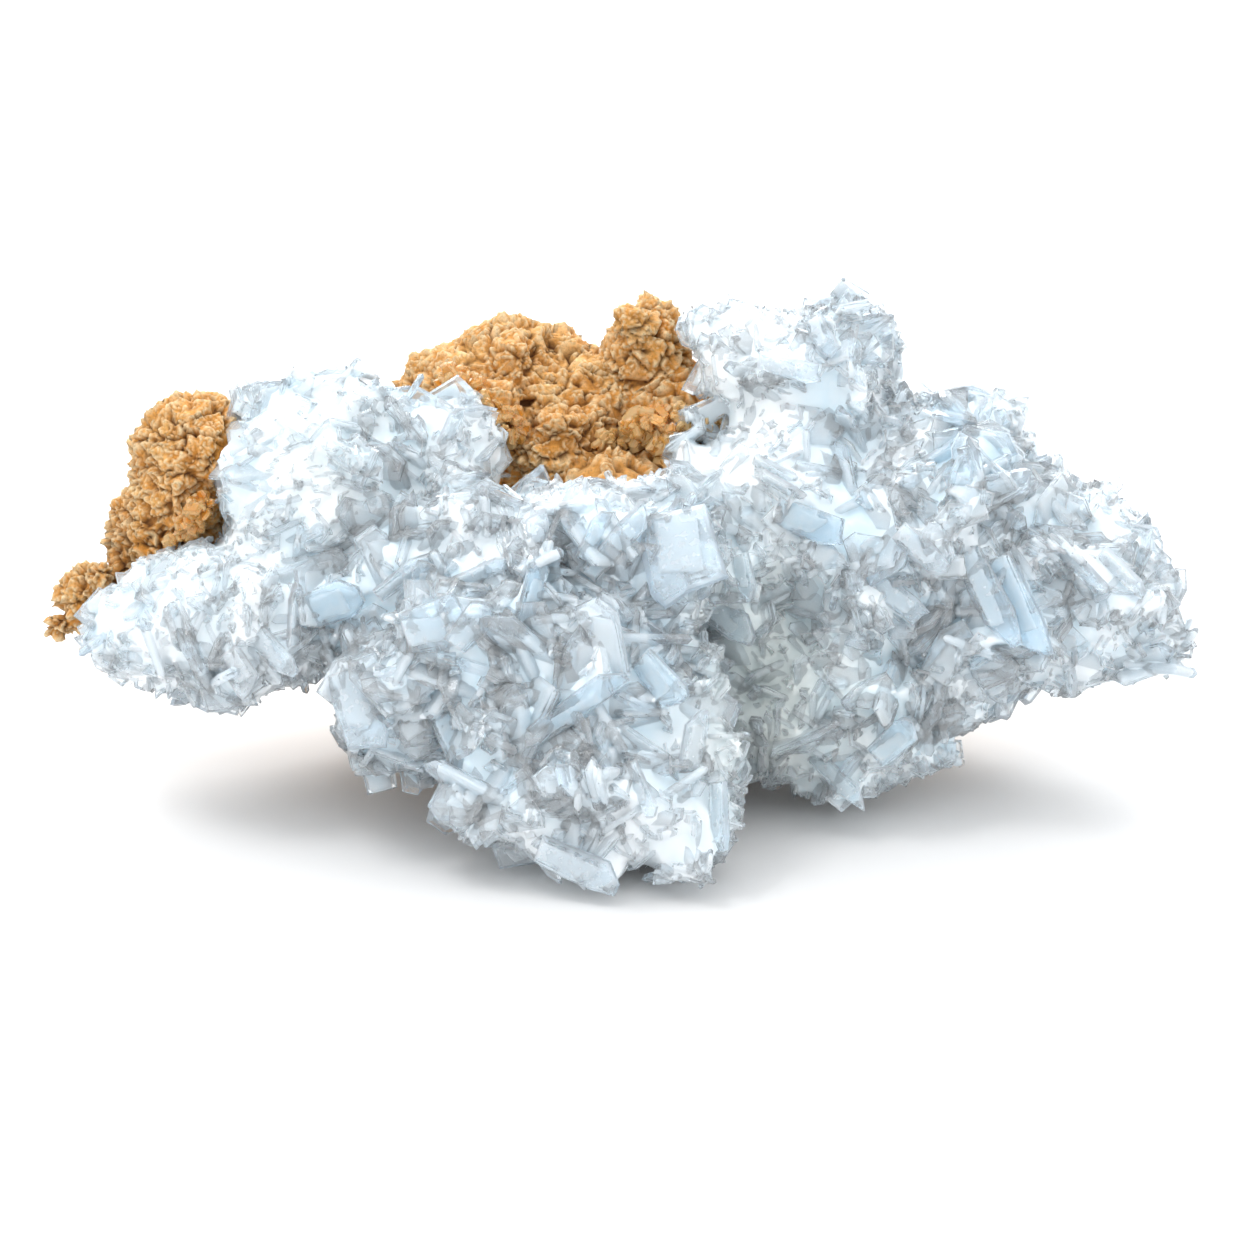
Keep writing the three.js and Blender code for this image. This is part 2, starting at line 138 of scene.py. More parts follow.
def grown_skin(name, meshes, voxel, smoothing=0, most_triangles=0):
    """One closed skin over meshes, their shape in voxels. voxel is in millimetres; smoothing wears the steps away.

    most_triangles, where given, is what is kept of the skin: flat places need few.
    """
    points, faces, start = [], [], 0
    for mesh in meshes:
        mesh.calc_loop_triangles()
        tris = np.zeros(len(mesh.loop_triangles) * 3, np.int32)
        mesh.loop_triangles.foreach_get("vertices", tris)
        points.append(corner_array(mesh))
        faces.append(tris + start)
        start += len(mesh.vertices)
    faces = np.concatenate(faces)
    joined = mesh_from_arrays(name, np.concatenate(points), faces, np.full(len(faces) // 3, 3))
    shell = bpy.data.objects.new(name, joined)
    bpy.context.scene.collection.objects.link(shell)
    remesh = shell.modifiers.new("voxels", "REMESH")
    remesh.mode = "VOXEL"
    remesh.voxel_size = voxel * MM
    remesh.use_smooth_shade = True
    if smoothing:
        smooth = shell.modifiers.new("smooth", "SMOOTH")
        smooth.factor = 0.5
        smooth.iterations = smoothing
    bpy.context.view_layer.update()
    skin = bpy.data.meshes.new_from_object(shell.evaluated_get(bpy.context.evaluated_depsgraph_get()))
    if most_triangles and len(skin.polygons) * 2 > most_triangles:
        shell.modifiers.clear()
        shell.data = skin
        decimate = shell.modifiers.new("fewer", "DECIMATE")
        decimate.ratio = most_triangles / (len(skin.polygons) * 2)
        bpy.context.view_layer.update()
        fewer = bpy.data.meshes.new_from_object(shell.evaluated_get(bpy.context.evaluated_depsgraph_get()))
        bpy.data.objects.remove(shell)
        bpy.data.meshes.remove(skin)
        skin = fewer
    else:
        bpy.data.objects.remove(shell)
    bpy.data.meshes.remove(joined)
    skin.name = name
    return skin


def convexity(mesh):
    """How sharply each corner stands out of its neighbours: above 0 on edges, below 0 in grooves."""
    points, normals = corner_array(mesh), corner_normals(mesh)
    ends = np.zeros(len(mesh.edges) * 2, np.int32)
    mesh.edges.foreach_get("vertices", ends)
    ends = ends.reshape(-1, 2)
    total = np.zeros_like(points)
    count = np.zeros(len(points))
    length = np.zeros(len(points))
    reach = np.linalg.norm(points[ends[:, 0]] - points[ends[:, 1]], axis=1)
    for a, b in ((0, 1), (1, 0)):
        np.add.at(total, ends[:, a], points[ends[:, b]])
        np.add.at(count, ends[:, a], 1)
        np.add.at(length, ends[:, a], reach)
    count = np.maximum(count, 1)
    offset = points - total / count[:, None]
    return np.einsum("kc,kc->k", offset, normals) / np.maximum(length / count, 1e-6)


def tree_of(mesh):
    mesh.calc_loop_triangles()
    corners = [vertex.co[:] for vertex in mesh.vertices]
    return BVHTree.FromPolygons(corners, [tri.vertices[:] for tri in mesh.loop_triangles])


def front_hit(tree, across, up):
    """Where the camera's line through a place of the front view, in millimetres, meets a surface."""
    level = (TARGET - FRONT_ORIGIN).dot(OUT)
    through = FRONT_ORIGIN + ACROSS * across * MM + UP * up * MM + OUT * level
    return tree.ray_cast(EYE, (through - EYE).normalized())


# Materials

def linear(hex_color):
    """An sRGB hex colour as linear values."""
    channels = [int(hex_color[i : i + 2], 16) / 255 for i in (1, 3, 5)]
    return [c / 12.92 if c <= 0.04045 else ((c + 0.055) / 1.055) ** 2.4 for c in channels] + [1.0]


def add(tree, kind, inputs=None, **settings):
    """Adds one node with its settings. An input takes a value, or a socket of another node that is linked to it."""
    node = tree.nodes.new(kind)
    for key, value in settings.items():
        setattr(node, key, value)
    for key, value in (inputs or {}).items():
        if isinstance(value, bpy.types.NodeSocket):
            tree.links.new(node.inputs[key], value)
        else:
            node.inputs[key].default_value = value
    return node


def ramp(tree, source, stops):
    """The colour that a value has between (position, hex or grey) stops."""
    node = add(tree, "ShaderNodeValToRGB", {0: source})
    elements = node.color_ramp.elements
    while len(elements) < len(stops):
        elements.new(0.5)
    for element, (position, value) in zip(elements, stops):
        element.position = position
        element.color = linear(value) if isinstance(value, str) else (value, value, value, 1)
    return node.outputs["Color"]


def mixed(tree, share, low, high, blend="MIX"):
    """Mixes two colours, each a socket or a hex."""
    colors = [linear(value) if isinstance(value, str) else value for value in (low, high)]
    inputs = {0: share, 6: colors[0], 7: colors[1]}
    return add(tree, "ShaderNodeMix", inputs, data_type="RGBA", blend_type=blend).outputs[2]


def new_material(name):
    material = bpy.data.materials.new(name)
    material.use_nodes = True
    tree = material.node_tree
    return material, tree, tree.nodes["Principled BSDF"]


def clear_crystal(name, colors, ior, clear, absorb, density):
    """A see-through crystal: clear inside, whiter and rougher where its growth attribute says frost; along the
    tablets' edges part of that frost is a painted highlight.
    """
    material, tree, shader = new_material(name)
    growth = add(tree, "ShaderNodeAttribute", attribute_name="growth")
    parts = add(tree, "ShaderNodeSeparateColor", {0: growth.outputs["Color"]})
    grain = add(tree, "ShaderNodeAttribute", attribute_name="grain").outputs["Vector"]
    clouds = add(tree, "ShaderNodeTexNoise", {"Vector": grain, "Scale": 0.9, "Detail": 1.0, "Roughness": 0.6})
    streaks = add(tree, "ShaderNodeMapping", {"Vector": grain, "Scale": (4.0, 0.5, 4.0)})
    striae = add(tree, "ShaderNodeTexNoise", {"Vector": streaks.outputs[0], "Scale": 2.0, "Detail": 0.0})
    cloudy = add(tree, "ShaderNodeMapRange", {0: clouds.outputs[0], 1: 0.42, 2: 0.7, 3: 0.0, 4: 0.55})
    frost = add(tree, "ShaderNodeMath", {0: parts.outputs["Green"], 1: cloudy.outputs[0]},
                operation="ADD", use_clamp=True).outputs[0]
    body = mixed(tree, parts.outputs["Red"], colors["pale"], colors["deep"])
    body = mixed(tree, parts.outputs["Blue"], body, colors["dull"])
    tree.links.new(shader.inputs["Base Color"], mixed(tree, frost, body, colors["frost"]))
    rough = add(tree, "ShaderNodeMapRange", {0: frost, 3: 0.05, 4: 0.42})
    tree.links.new(shader.inputs["Roughness"], rough.outputs[0])
    shader.inputs["IOR"].default_value = ior
    shader.inputs["Transmission Weight"].default_value = clear
    bump = add(tree, "ShaderNodeBump", {"Strength": 0.12, "Distance": 0.05 * MM, "Height": striae.outputs[0]})
    tree.links.new(shader.inputs["Normal"], bump.outputs[0])
    depth = add(tree, "ShaderNodeVolumeAbsorption", {"Color": linear(absorb), "Density": density})
    tree.links.new(tree.nodes["Material Output"].inputs["Volume"], depth.outputs[0])
    return material


def barite():
    """Barite, a clear sulfate with good cleavage: pale blue in depth, white where it is frosted, and white along its
    edges as a painted highlight.
    """
    colors = {"pale": "#fafdff", "deep": "#e2f2fb", "dull": "#e4e6da", "frost": "#fdfeff"}
    return clear_crystal("clear_barite", colors, 1.46, 0.82, "#86cbea", 100.0)


def stained_barite():
    """The same mineral stained by iron oxide: honey to orange, glossy and see-through."""
    colors = {"pale": "#ffbe50", "deep": "#f5a02c", "dull": "#ee9c50", "frost": "#ffdc9c"}
    return clear_crystal("iron_stained_barite", colors, 1.5, 0.6, "#ffbc50", 100.0)


def milky_barite():
    """The inside of the crust, where crystals have grown into each other: milky, whiter on its edges as a painted
    highlight and bluer in the gaps as painted shade.
    """
    material, tree, shader = new_material("milky_barite")
    growth = add(tree, "ShaderNodeAttribute", attribute_name="growth")
    parts = add(tree, "ShaderNodeSeparateColor", {0: growth.outputs["Color"]})
    place = add(tree, "ShaderNodeTexCoord").outputs["Object"]
    clouds = add(tree, "ShaderNodeTexNoise", {"Vector": place, "Scale": 1 / (5 * MM), "Detail": 5.0})
    color = ramp(tree, clouds.outputs[0], [(0.3, "#bcdbea"), (0.55, "#d0e7f3"), (0.8, "#e4f2f9")])
    color = mixed(tree, parts.outputs["Red"], "#f0f5f8", color)
    # Green is how far a corner stands out: it whitens edges, a painted highlight, and leaves the gaps bluer, painted
    # shade.
    color = mixed(tree, parts.outputs["Green"], color, "#f8fbfd")
    color = mixed(tree, parts.outputs["Blue"], color, "#c2c7ba")
    tree.links.new(shader.inputs["Base Color"], color)
    shader.inputs["Roughness"].default_value = 0.3
    return material


def limestone():
    """Weathered limestone: dull, paler on its ridges, partly the rock's own pale ridges and partly a painted
    highlight; dark brown in its pits and grooves, a painted shade; orange where iron has seeped.
    """
    material, tree, shader = new_material("weathered_limestone")
    relief = add(tree, "ShaderNodeAttribute", attribute_name="relief")
    parts = add(tree, "ShaderNodeSeparateColor", {0: relief.outputs["Color"]})
    place = add(tree, "ShaderNodeTexCoord").outputs["Object"]
    patches = add(tree, "ShaderNodeTexNoise",
                  {"Vector": place, "Scale": 1 / (7 * MM), "Detail": 6.0, "Roughness": 0.7})
    grit = add(tree, "ShaderNodeTexNoise",
               {"Vector": place, "Scale": 1 / (0.45 * MM), "Detail": 4.0, "Roughness": 0.75})
    base = ramp(tree, patches.outputs[0],
                [(0.3, "#c28032"), (0.45, "#da9644"), (0.58, "#e8ac5e"), (0.75, "#f4c882")])
    stained = mixed(tree, parts.outputs["Green"], base, "#f09a26")
    # Red darkens pits and grooves: painted shade. Blue pales the ridges: partly the rock's own light ridges, partly
    # a painted highlight.
    painted_pit_shade = mixed(tree, parts.outputs["Red"], stained, "#70451c")
    light_ridges_and_painted_highlight = mixed(tree, parts.outputs["Blue"], painted_pit_shade, "#fde0b0")
    speckle = ramp(tree, grit.outputs[0], [(0.3, 0.55), (0.5, 0.95), (0.7, 1.2)])
    tree.links.new(shader.inputs["Base Color"], mixed(tree, 0.85, light_ridges_and_painted_highlight, speckle, "MULTIPLY"))
    shader.inputs["Roughness"].default_value = 0.85
    bump = add(tree, "ShaderNodeBump", {"Strength": 1.0, "Distance": 0.5 * MM, "Height": grit.outputs[0]})
    tree.links.new(shader.inputs["Normal"], bump.outputs[0])
    return material


# Crystals

def tablet_mesh(name, tablets, points_around, rng):
    """Joins flat, bevelled barite tablets in one mesh.

    tablets holds arrays with one row each: root, along and face (directions of the length and of the broad side),
    long, wide, thick, and the growth values blue, frost and dull. points_around is 5 for plain ones and 7 for
    large ones, which also have a flat rim between their bevels.
    """
    count = len(tablets["long"])
    outline = np.zeros((count, points_around, 2))
    lean_tip = rng.uniform(-0.5, 0.5, count)
    cut = rng.uniform(0.62, 0.93, (count, 2))
    outline[:, 0] = [-0.8, 0.0]
    outline[:, 1] = [0.8, 0.0]
    if points_around == 4:
        outline[:, 2] = np.stack([np.full(count, 1.0), cut[:, 0] * 1.15], 1)
        outline[:, 3] = np.stack([lean_tip - 0.5, np.ones(count)], 1)
    elif points_around == 5:
        outline[:, 2] = np.stack([np.full(count, 1.0), cut[:, 0]], 1)
        outline[:, 3] = np.stack([lean_tip, np.ones(count)], 1)
        outline[:, 4] = np.stack([np.full(count, -1.0), cut[:, 1]], 1)
    else:
        outline[:, 2] = np.stack([np.full(count, 1.0), np.full(count, 0.35)], 1)
        outline[:, 3] = np.stack([np.full(count, 0.96), cut[:, 0]], 1)
        outline[:, 4] = np.stack([lean_tip + 0.3, np.ones(count)], 1)
        outline[:, 5] = np.stack([lean_tip - 0.3, np.full(count, 0.98)], 1)
        outline[:, 6] = np.stack([np.full(count, -1.0), cut[:, 1]], 1)
        outline[:, 2:] += rng.normal(0, 0.035, outline[:, 2:].shape)
    outline[:, :, 0] *= tablets["wide"][:, None] / 2
    outline[:, :, 1] *= tablets["long"][:, None]
    middle = outline.mean(1, keepdims=True)
    bevel = np.minimum(0.35 * tablets["thick"], 0.16 * tablets["wide"])[:, None, None]
    inward = middle - outline
    reach = np.linalg.norm(inward, axis=2, keepdims=True)
    inner = outline + inward / np.maximum(reach, 1e-6) * np.minimum(bevel * 1.3, reach * 0.6)
    half = (tablets["thick"] / 2)[:, None]
    levels = [(inner, 1.0), (outline, 0.0), (inner, -1.0)]
    if points_around == 7:
        levels = [(inner, 1.0), (outline, 0.45), (outline, -0.45), (inner, -1.0)]
    rings = [np.dstack([ring, np.broadcast_to(half * level, ring.shape[:2])]) for ring, level in levels]
    local = np.concatenate(rings, 1)
    side = np.cross(tablets["along"], tablets["face"])
    axes = np.stack([side, tablets["along"], tablets["face"]], 1)
    points = np.einsum("nkc,ncd->nkd", local, axes) + tablets["root"][:, None]

    n, last = points_around, (len(levels) - 1) * points_around
    faces = [list(range(n)), list(range(last, last + n))[::-1]]
    for ring in range(len(levels) - 1):
        for k in range(n):
            a, b = ring * n + k, ring * n + (k + 1) % n
            faces.append([a, a + n, b + n, b])
    pattern = np.concatenate([np.array(face) for face in faces])
    sizes = np.array([len(face) for face in faces])
    per_tablet = local.shape[1]
    corners = (pattern[None] + (np.arange(count) * per_tablet)[:, None]).ravel()
    mesh = mesh_from_arrays(name, points.reshape(-1, 3), corners, np.tile(sizes, count))

    # The outline ring gets 0.6 more frost: a painted highlight that whitens every tablet along its edges.
    rim = np.array([0.0 if ring in (0, len(levels) - 1) else 1.0 for ring in range(len(levels)) for _ in range(n)])
    frost = np.clip(tablets["frost"][:, None] + 0.6 * rim[None], 0, 1)
    blue = np.broadcast_to(tablets["blue"][:, None], frost.shape)
    dull = np.broadcast_to(tablets["dull"][:, None], frost.shape)
    store(mesh, "growth", "FLOAT_COLOR", np.dstack([blue, frost, dull, np.ones_like(frost)]))
    seeds = rng.uniform(0, 500, (count, 1, 3))
    store(mesh, "grain", "FLOAT_VECTOR", local + seeds)
    return mesh


def sampled(mesh, per_mm2, rng):
    """Points spread over a mesh, with the normal there: millimetres."""
    mesh.calc_loop_triangles()
    points = corner_array(mesh)
    normals = corner_normals(mesh)
    tris = np.zeros(len(mesh.loop_triangles) * 3, np.int32)
    mesh.loop_triangles.foreach_get("vertices", tris)
    tris = tris.reshape(-1, 3)
    a, b, c = (points[tris[:, k]] for k in range(3))
    areas = np.linalg.norm(np.cross(b - a, c - a), axis=1) / 2
    count = int(areas.sum() * per_mm2)
    chosen = rng.choice(len(tris), count, p=areas / areas.sum())
    u, v = rng.random(count), rng.random(count)
    flip = u + v > 1
    u[flip], v[flip] = 1 - u[flip], 1 - v[flip]
    weights = np.stack([1 - u - v, u, v], 1)
    at = sum(weights[:, k, None] * points[tris[chosen, k]] for k in range(3))
    out = unit(sum(weights[:, k, None] * normals[tris[chosen, k]] for k in range(3)))
    return at, out


# How the crust grows in each part of the front view. at and reach are (across, up) in millimetres, size scales the
# crystals, blue, frost and dull shift their look, and lean is how far they lie over, in degrees.
GROWTH_ZONES = {
    "left slope": {"at": (-43, 50), "reach": (17, 14), "size": 0.7, "blue": 0.15, "frost": 0.05, "dull": 0.12},
    "left wing top": {"at": (-60, 32), "reach": (17, 9), "size": 0.7, "blue": 0.0, "frost": 0.15, "dull": 0.05},
    "left wing edge": {"at": (-58, 19), "reach": (16, 6), "size": 1.1, "blue": -0.3, "frost": 0.35, "dull": 0.0},
    "window rim": {"at": (2, 48), "reach": (26, 4), "size": 0.8, "blue": -0.3, "frost": 0.4, "dull": 0.0},
    "centre band": {"at": (-8, 36), "reach": (26, 7), "size": 1.25, "blue": 0.1, "frost": 0.1, "dull": 0.0},
    "front lobe": {"at": (-12, 14), "reach": (20, 16), "size": 1.35, "blue": 0.1, "frost": 0.0, "dull": 0.0},
    "lobe foot": {"at": (0, -6), "reach": (18, 7), "size": 1.0, "blue": -0.2, "frost": 0.3, "dull": 0.0},
    "cleft": {"at": (19, 17), "reach": (9, 17), "size": 0.75, "blue": 0.0, "frost": 0.0, "dull": 0.45},
    "right lobe": {"at": (32, 14), "reach": (12, 13), "size": 1.0, "blue": 0.1, "frost": 0.0, "dull": 0.15},
    "right body": {"at": (46, 34), "reach": (24, 18), "size": 1.3, "blue": 0.2, "frost": -0.05, "dull": 0.0},
    "right wing": {"at": (72, 28), "reach": (10, 12), "size": 0.9, "blue": -0.15, "frost": 0.25, "dull": 0.0},
    "peak fans": {"at": (14, 58), "reach": (7, 18), "size": 0.75, "blue": -0.3, "frost": 0.4, "dull": 0.1},
    "peak": {"at": (27, 62), "reach": (11, 12), "size": 1.0, "blue": 0.05, "frost": 0.1, "dull": 0.0},
}


def zone_growth(points):
    """What the zones say at points: every zone counts by how near its middle is.

    patch is above 0 where the crust is a sugary mass of fine crystals and below 0 where it is bladed and bluer.
    """
    offset = points - np.array(FRONT_ORIGIN) / MM
    across, up = offset[:, 0], offset @ np.array(UP)
    total = {"size": np.full(len(points), 1.0), **{key: np.zeros(len(points)) for key in ("blue", "frost", "dull")}}
    for zone in GROWTH_ZONES.values():
        (a, u), (ra, ru) = zone["at"], zone["reach"]
        weight = np.exp(-(((across - a) / ra) ** 2 + ((up - u) / ru) ** 2))
        total["size"] += weight * (zone["size"] - 1)
        for key in ("blue", "frost", "dull"):
            total[key] += weight * zone[key]
    patch = np.array([noise.fractal(Vector(point) / PATCH, 1.0, 2.0, 3) for point in points])
    patch = np.clip(patch * 1.6, -1, 1)
    total["patch"] = patch
    total["size"] *= 1 - 0.25 * patch
    total["blue"] -= 0.4 * patch
    total["frost"] += 0.3 * patch
    return total


def bundle_turns(points, spacing, rng):
    """Crystals grow in bundles that share a heading: each point takes the angles of its nearest bundle."""
    count = max(8, int(len(points) / spacing))
    seeds = points[rng.choice(len(points), count, replace=False)]
    tree = KDTree(count)
    for k, seed in enumerate(seeds):
        tree.insert(seed, k)
    tree.balance()
    nearest = np.array([tree.find(point)[1] for point in points])
    return rng.uniform(0, 2 * np.pi, count)[nearest], rng.uniform(0, np.pi, count)[nearest]


def standing_tablets(points, outward, lean, size, rng, bundle=14):
    """Directions and sizes for tablets on a surface. lean is (least, most) degrees from straight out."""
    count = len(points)
    heading, roll = bundle_turns(points, bundle, rng)
    heading = heading + rng.normal(0, 0.7, count)
    roll = roll + rng.normal(0, 0.5, count)
    tilt = np.radians(rng.uniform(*lean, count))
    helper = np.where(np.abs(outward[:, 2:3]) < 0.9, [[0, 0, 1.0]], [[1.0, 0, 0]])
    side = unit(np.cross(helper, outward))
    other = np.cross(outward, side)
    flat = side * np.cos(heading)[:, None] + other * np.sin(heading)[:, None]
    along = unit(outward * np.cos(tilt)[:, None] + flat * np.sin(tilt)[:, None])
    broad = unit(np.cross(outward + 1e-4, along))
    third = np.cross(along, broad)
    face = broad * np.cos(roll)[:, None] + third * np.sin(roll)[:, None]
    growth = zone_growth(points)
    scale = growth["size"] * rng.lognormal(0, 0.22, count)
    long = size[0] * scale
    return {
        "root": points - along * (long * ROOTED)[:, None],
        "along": along,
        "face": unit(face),
        "long": long,
        "wide": size[1] * scale * rng.uniform(0.75, 1.3, count),
        "thick": size[2] * scale * rng.uniform(0.75, 1.3, count),
        "blue": np.clip(0.4 + growth["blue"] + rng.normal(0, 0.18, count), 0, 1),
        "frost": np.clip(0.12 + growth["frost"] + rng.normal(0, 0.14, count), 0, 1),
        "dull": np.clip(growth["dull"] + rng.normal(0, 0.04, count), 0, 1),
        "patch": growth["patch"],
    }


def kept(tablets, keep):
    return {key: values[keep] for key, values in tablets.items()}


def tips(tablets):
    return tablets["root"] + tablets["along"] * tablets["long"][:, None]


def in_bounds(tablets, room=1.0):
    """Which tablets end above the floor and inside the box of the solids."""
    low, high = (np.array(corner) / MM for corner in CAD_BOX)
    tip = tips(tablets)
    clear = tablets["wide"] * 0.5
    above = np.minimum(tip[:, 2], tablets["root"][:, 2]) > clear * 0.8 + 0.2
    return above & np.all((tip > low - room) & (tip < high + room), axis=1)


def clear_of(tree, points, outward, reach):
    """Which points don't face another surface closer than reach."""
    free = np.ones(len(points), bool)
    for k, (point, direction) in enumerate(zip(points, outward)):
        start = Vector(point * MM) + Vector(direction) * 0.05 * MM
        hit = tree.ray_cast(start, Vector(direction), reach * MM)
        free[k] = hit[0] is None
    return free


# Large blades of the front: across and up in millimetres, length, width and thickness, then turn (where the blade
# points: 0 right, 90 up), tip (how far its end leans at the viewer) and face (0 shows the broad side, 90 the edge)
FRONT_BLADES = [
    (-12.8, 38.8, 6.2, 3.2, 1.3, 92, 15, 15),
    (-8.2, 42.3, 9.8, 2.2, 1.3, 10, 6, 30),
    (-4.8, 38.6, 8.0, 2.4, 1.3, 65, 8, 25),
    (-1.4, 37.5, 12.8, 3.6, 1.5, 48, 8, 20),
    (7.8, 35.6, 13.0, 11.0, 2.4, -80, 20, 8),
    (-26.3, 33.4, 6.2, 2.0, 1.2, -60, 10, 35),
    (-21.3, 33.0, 8.8, 2.2, 1.3, 24, 8, 30),
    (-31.7, 32.8, 9.8, 2.6, 1.3, 38, 8, 25),
    (-29.2, 31.4, 7.2, 3.2, 1.3, 80, 10, 10),
    (-13.8, 29.3, 11.8, 3.0, 1.7, 75, 6, 20),
    (-27.0, 25.7, 9.6, 7.2, 1.8, 15, 12, 10),
    (-22.3, 25.6, 7.4, 4.4, 1.5, 50, 10, 15),
    (13.8, 26.8, 10.8, 4.8, 1.6, -38, 16, 25),
    (16.6, 32.4, 6.8, 2.9, 1.3, -80, 14, 30),
    (-25.0, 54.0, 6.4, 2.4, 1.1, 65, 20, 45),
    (47.1, 45.3, 8.6, 3.8, 1.7, 80, 10, 10),
    (51.5, 29.2, 15.4, 4.8, 2.0, -64, 4, 15),
    (55.8, 28.2, 15.6, 4.6, 2.0, -66, 4, 28),
    (44.7, 50.0, 7.8, 2.2, 1.3, 32, 8, 35),
    (63.8, 34.2, 11.4, 2.5, 1.4, -42, 8, 45),
    (70.4, 33.0, 8.8, 2.3, 1.4, -46, 8, 45),
    (41.8, 36.2, 8.8, 3.6, 1.6, -42, 8, 10),
    (23.0, 62.2, 9.2, 3.0, 1.5, -15, 10, 25),
    (27.7, 66.6, 6.0, 3.2, 1.6, -62, 12, 20),
    (36.0, 61.0, 5.8, 2.0, 1.1, 85, 8, 55),
    (26.0, 40.2, 10.6, 4.6, 1.8, -22, 8, 10),
    (20.9, 47.7, 6.8, 2.2, 1.1, -28, 10, 55),
    (22.0, 45.4, 6.8, 2.2, 1.1, -30, 10, 55),
    (50.1, 55.0, 6.4, 3.0, 1.2, 70, 10, 45),
    (-55.0, 19.0, 7.0, 4.4, 1.2, -60, 12, 25),
    (-50.0, 21.4, 8.4, 3.6, 1.3, -50, 12, 20),
    (-47.3, 27.0, 8.8, 2.1, 1.2, 86, 10, 45),
    (-42.1, 28.7, 8.8, 6.0, 1.6, 20, 8, 10),
    (-38.3, 13.6, 11.8, 6.3, 1.8, -72, 10, 8),
    (-24.0, 7.6, 11.4, 3.7, 1.7, -62, 8, 10),
    (-7.3, 14.2, 14.8, 3.7, 1.8, 36, 8, 15),
    (9.4, 9.3, 9.4, 3.4, 1.6, 78, 6, 20),
    (2.1, 2.2, 8.6, 2.2, 1.3, -66, 10, 25),
    (13.0, -1.8, 10.0, 4.2, 1.2, -88, 6, 60),
    (-6.8, -8.6, 12.4, 5.0, 1.5, -24, 6, 25),
    (30.1, 3.6, 10.8, 2.8, 1.5, -45, 14, 20),
    (37.7, 9.2, 7.2, 4.3, 1.6, 42, 8, 15),
    (50.8, 13.2, 5.8, 3.8, 1.1, -70, 12, 55),
    (62.8, 18.4, 5.8, 2.2, 1.1, -80, 12, 55),
    (38.7, 29.2, 8.6, 3.6, 1.6, -40, 8, 12),
    (4.6, 17.9, 8.2, 4.6, 1.6, -50, 10, 25),
]


def front_blades(tree):
    """The large blades, each resting on the crust where the camera's line through its place meets it."""
    rows = []
    basis = Matrix((ACROSS, UP, OUT)).transposed().to_quaternion()
    for across, up, long, wide, thick, turn, tip, face in FRONT_BLADES:
        hit = front_hit(tree, across, up)[0]
        if hit is None:
            continue
        turned = Matrix.Rotation(math.radians(turn - 90), 3, "Z") @ Matrix.Rotation(math.radians(tip), 3, "X")
        turned = basis.to_matrix() @ turned @ Matrix.Rotation(math.radians(face), 3, "Y")
        along, broad = turned @ Vector((0, 1, 0)), turned @ Vector((0, 0, 1))
        lift = (0.5 + thick * 0.3 + wide * 0.3 * math.sin(math.radians(face))) * MM
        root = (hit + OUT * lift) / MM - along * long / 2
        rows.append((root, along, broad, long, wide, thick))
    root, along, broad, long, wide, thick = (np.array(column, float) for column in zip(*rows))
    middle = root + along * (long / 2)[:, None]
    growth = zone_growth(middle)
    return {
        "root": root, "along": along, "face": broad, "long": long, "wide": wide, "thick": thick,
        "blue": np.clip(0.45 + growth["blue"], 0, 1),
        "frost": np.clip(0.1 + growth["frost"] * 0.6, 0, 1),
        "dull": np.clip(growth["dull"] * 0.5, 0, 1),
    }


# Pieces

def crust_base():
    """The rounded masses that the crystals grow out of."""
    skin = grown_skin("crust_swollen", [NODES["barite_crust"].data], 1.0, 6)
    set_corners(skin, corner_array(skin) + corner_normals(skin) * GROOVES)
    skin = grown_skin("crust_base", [skin], 1.0, 6)
    points, normals = corner_array(skin), corner_normals(skin)
    swell = [noise.fractal(Vector(point) / 6.0, 1.0, 2.0, 4) for point in points]
    points += normals * (np.array(swell)[:, None] * 0.9 - GROOVES - 0.5)
    points[:, 2] = np.maximum(points[:, 2], 0.3)
    set_corners(skin, points)
    return skin


def clear_of_blades(tablets, blades):
    """Leaves out the crystals that would hide a large blade."""
    middle = tablets["root"] + tablets["along"] * (tablets["long"] * 0.6)[:, None]
    free = np.ones(len(middle), bool)
    side = np.cross(blades["along"], blades["face"])
    for k in range(len(blades["long"])):
        offset = middle - blades["root"][k]
        over = np.abs(offset @ side[k]) < blades["wide"][k] * 0.5
        over &= (offset @ blades["along"][k] > blades["long"][k] * 0.2) & (offset @ blades["along"][k] < blades["long"][k])
        over &= np.abs(offset @ blades["face"][k]) < blades["thick"][k] * 0.5 + 2.2
        free &= ~over
    return kept(tablets, free)


def milky_crust(base, layers, rng):
    """The grown-together inside of the crust: it shows in the gaps, and cloudy inside the clear crystals.

    layers has the crystals with the share of their length, width and thickness that is cloudy.
    """
    stubs = []
    for tablets, long, wide, thick in layers:
        thickness = np.maximum(tablets["thick"] * thick, 0.6)
        cloudy = {**tablets, "long": tablets["long"] * long, "wide": tablets["wide"] * wide, "thick": thickness}
        stubs.append(tablet_mesh("stubs", cloudy, 4, rng))
    skin = grown_skin("crust_core", [base, *stubs], SKIN_VOXEL, 1, CORE_TRIANGLES)
    points = corner_array(skin)
    points[:, 2] = np.maximum(points[:, 2], 0.0)
    set_corners(skin, points)
    growth = zone_growth(points)
    # rise, kept as green, whitens the crust's edges and leaves its gaps bluer: painted highlight and painted shade.
    rise = np.clip(convexity(skin) * 1.5 + 0.3, 0, 1)
    dull = np.clip(growth["dull"], 0, 1)
    blue = np.clip(0.4 + growth["blue"], 0, 1)
    store(skin, "growth", "FLOAT_COLOR", np.stack([blue, rise, dull, np.ones_like(dull)], 1))
    return skin


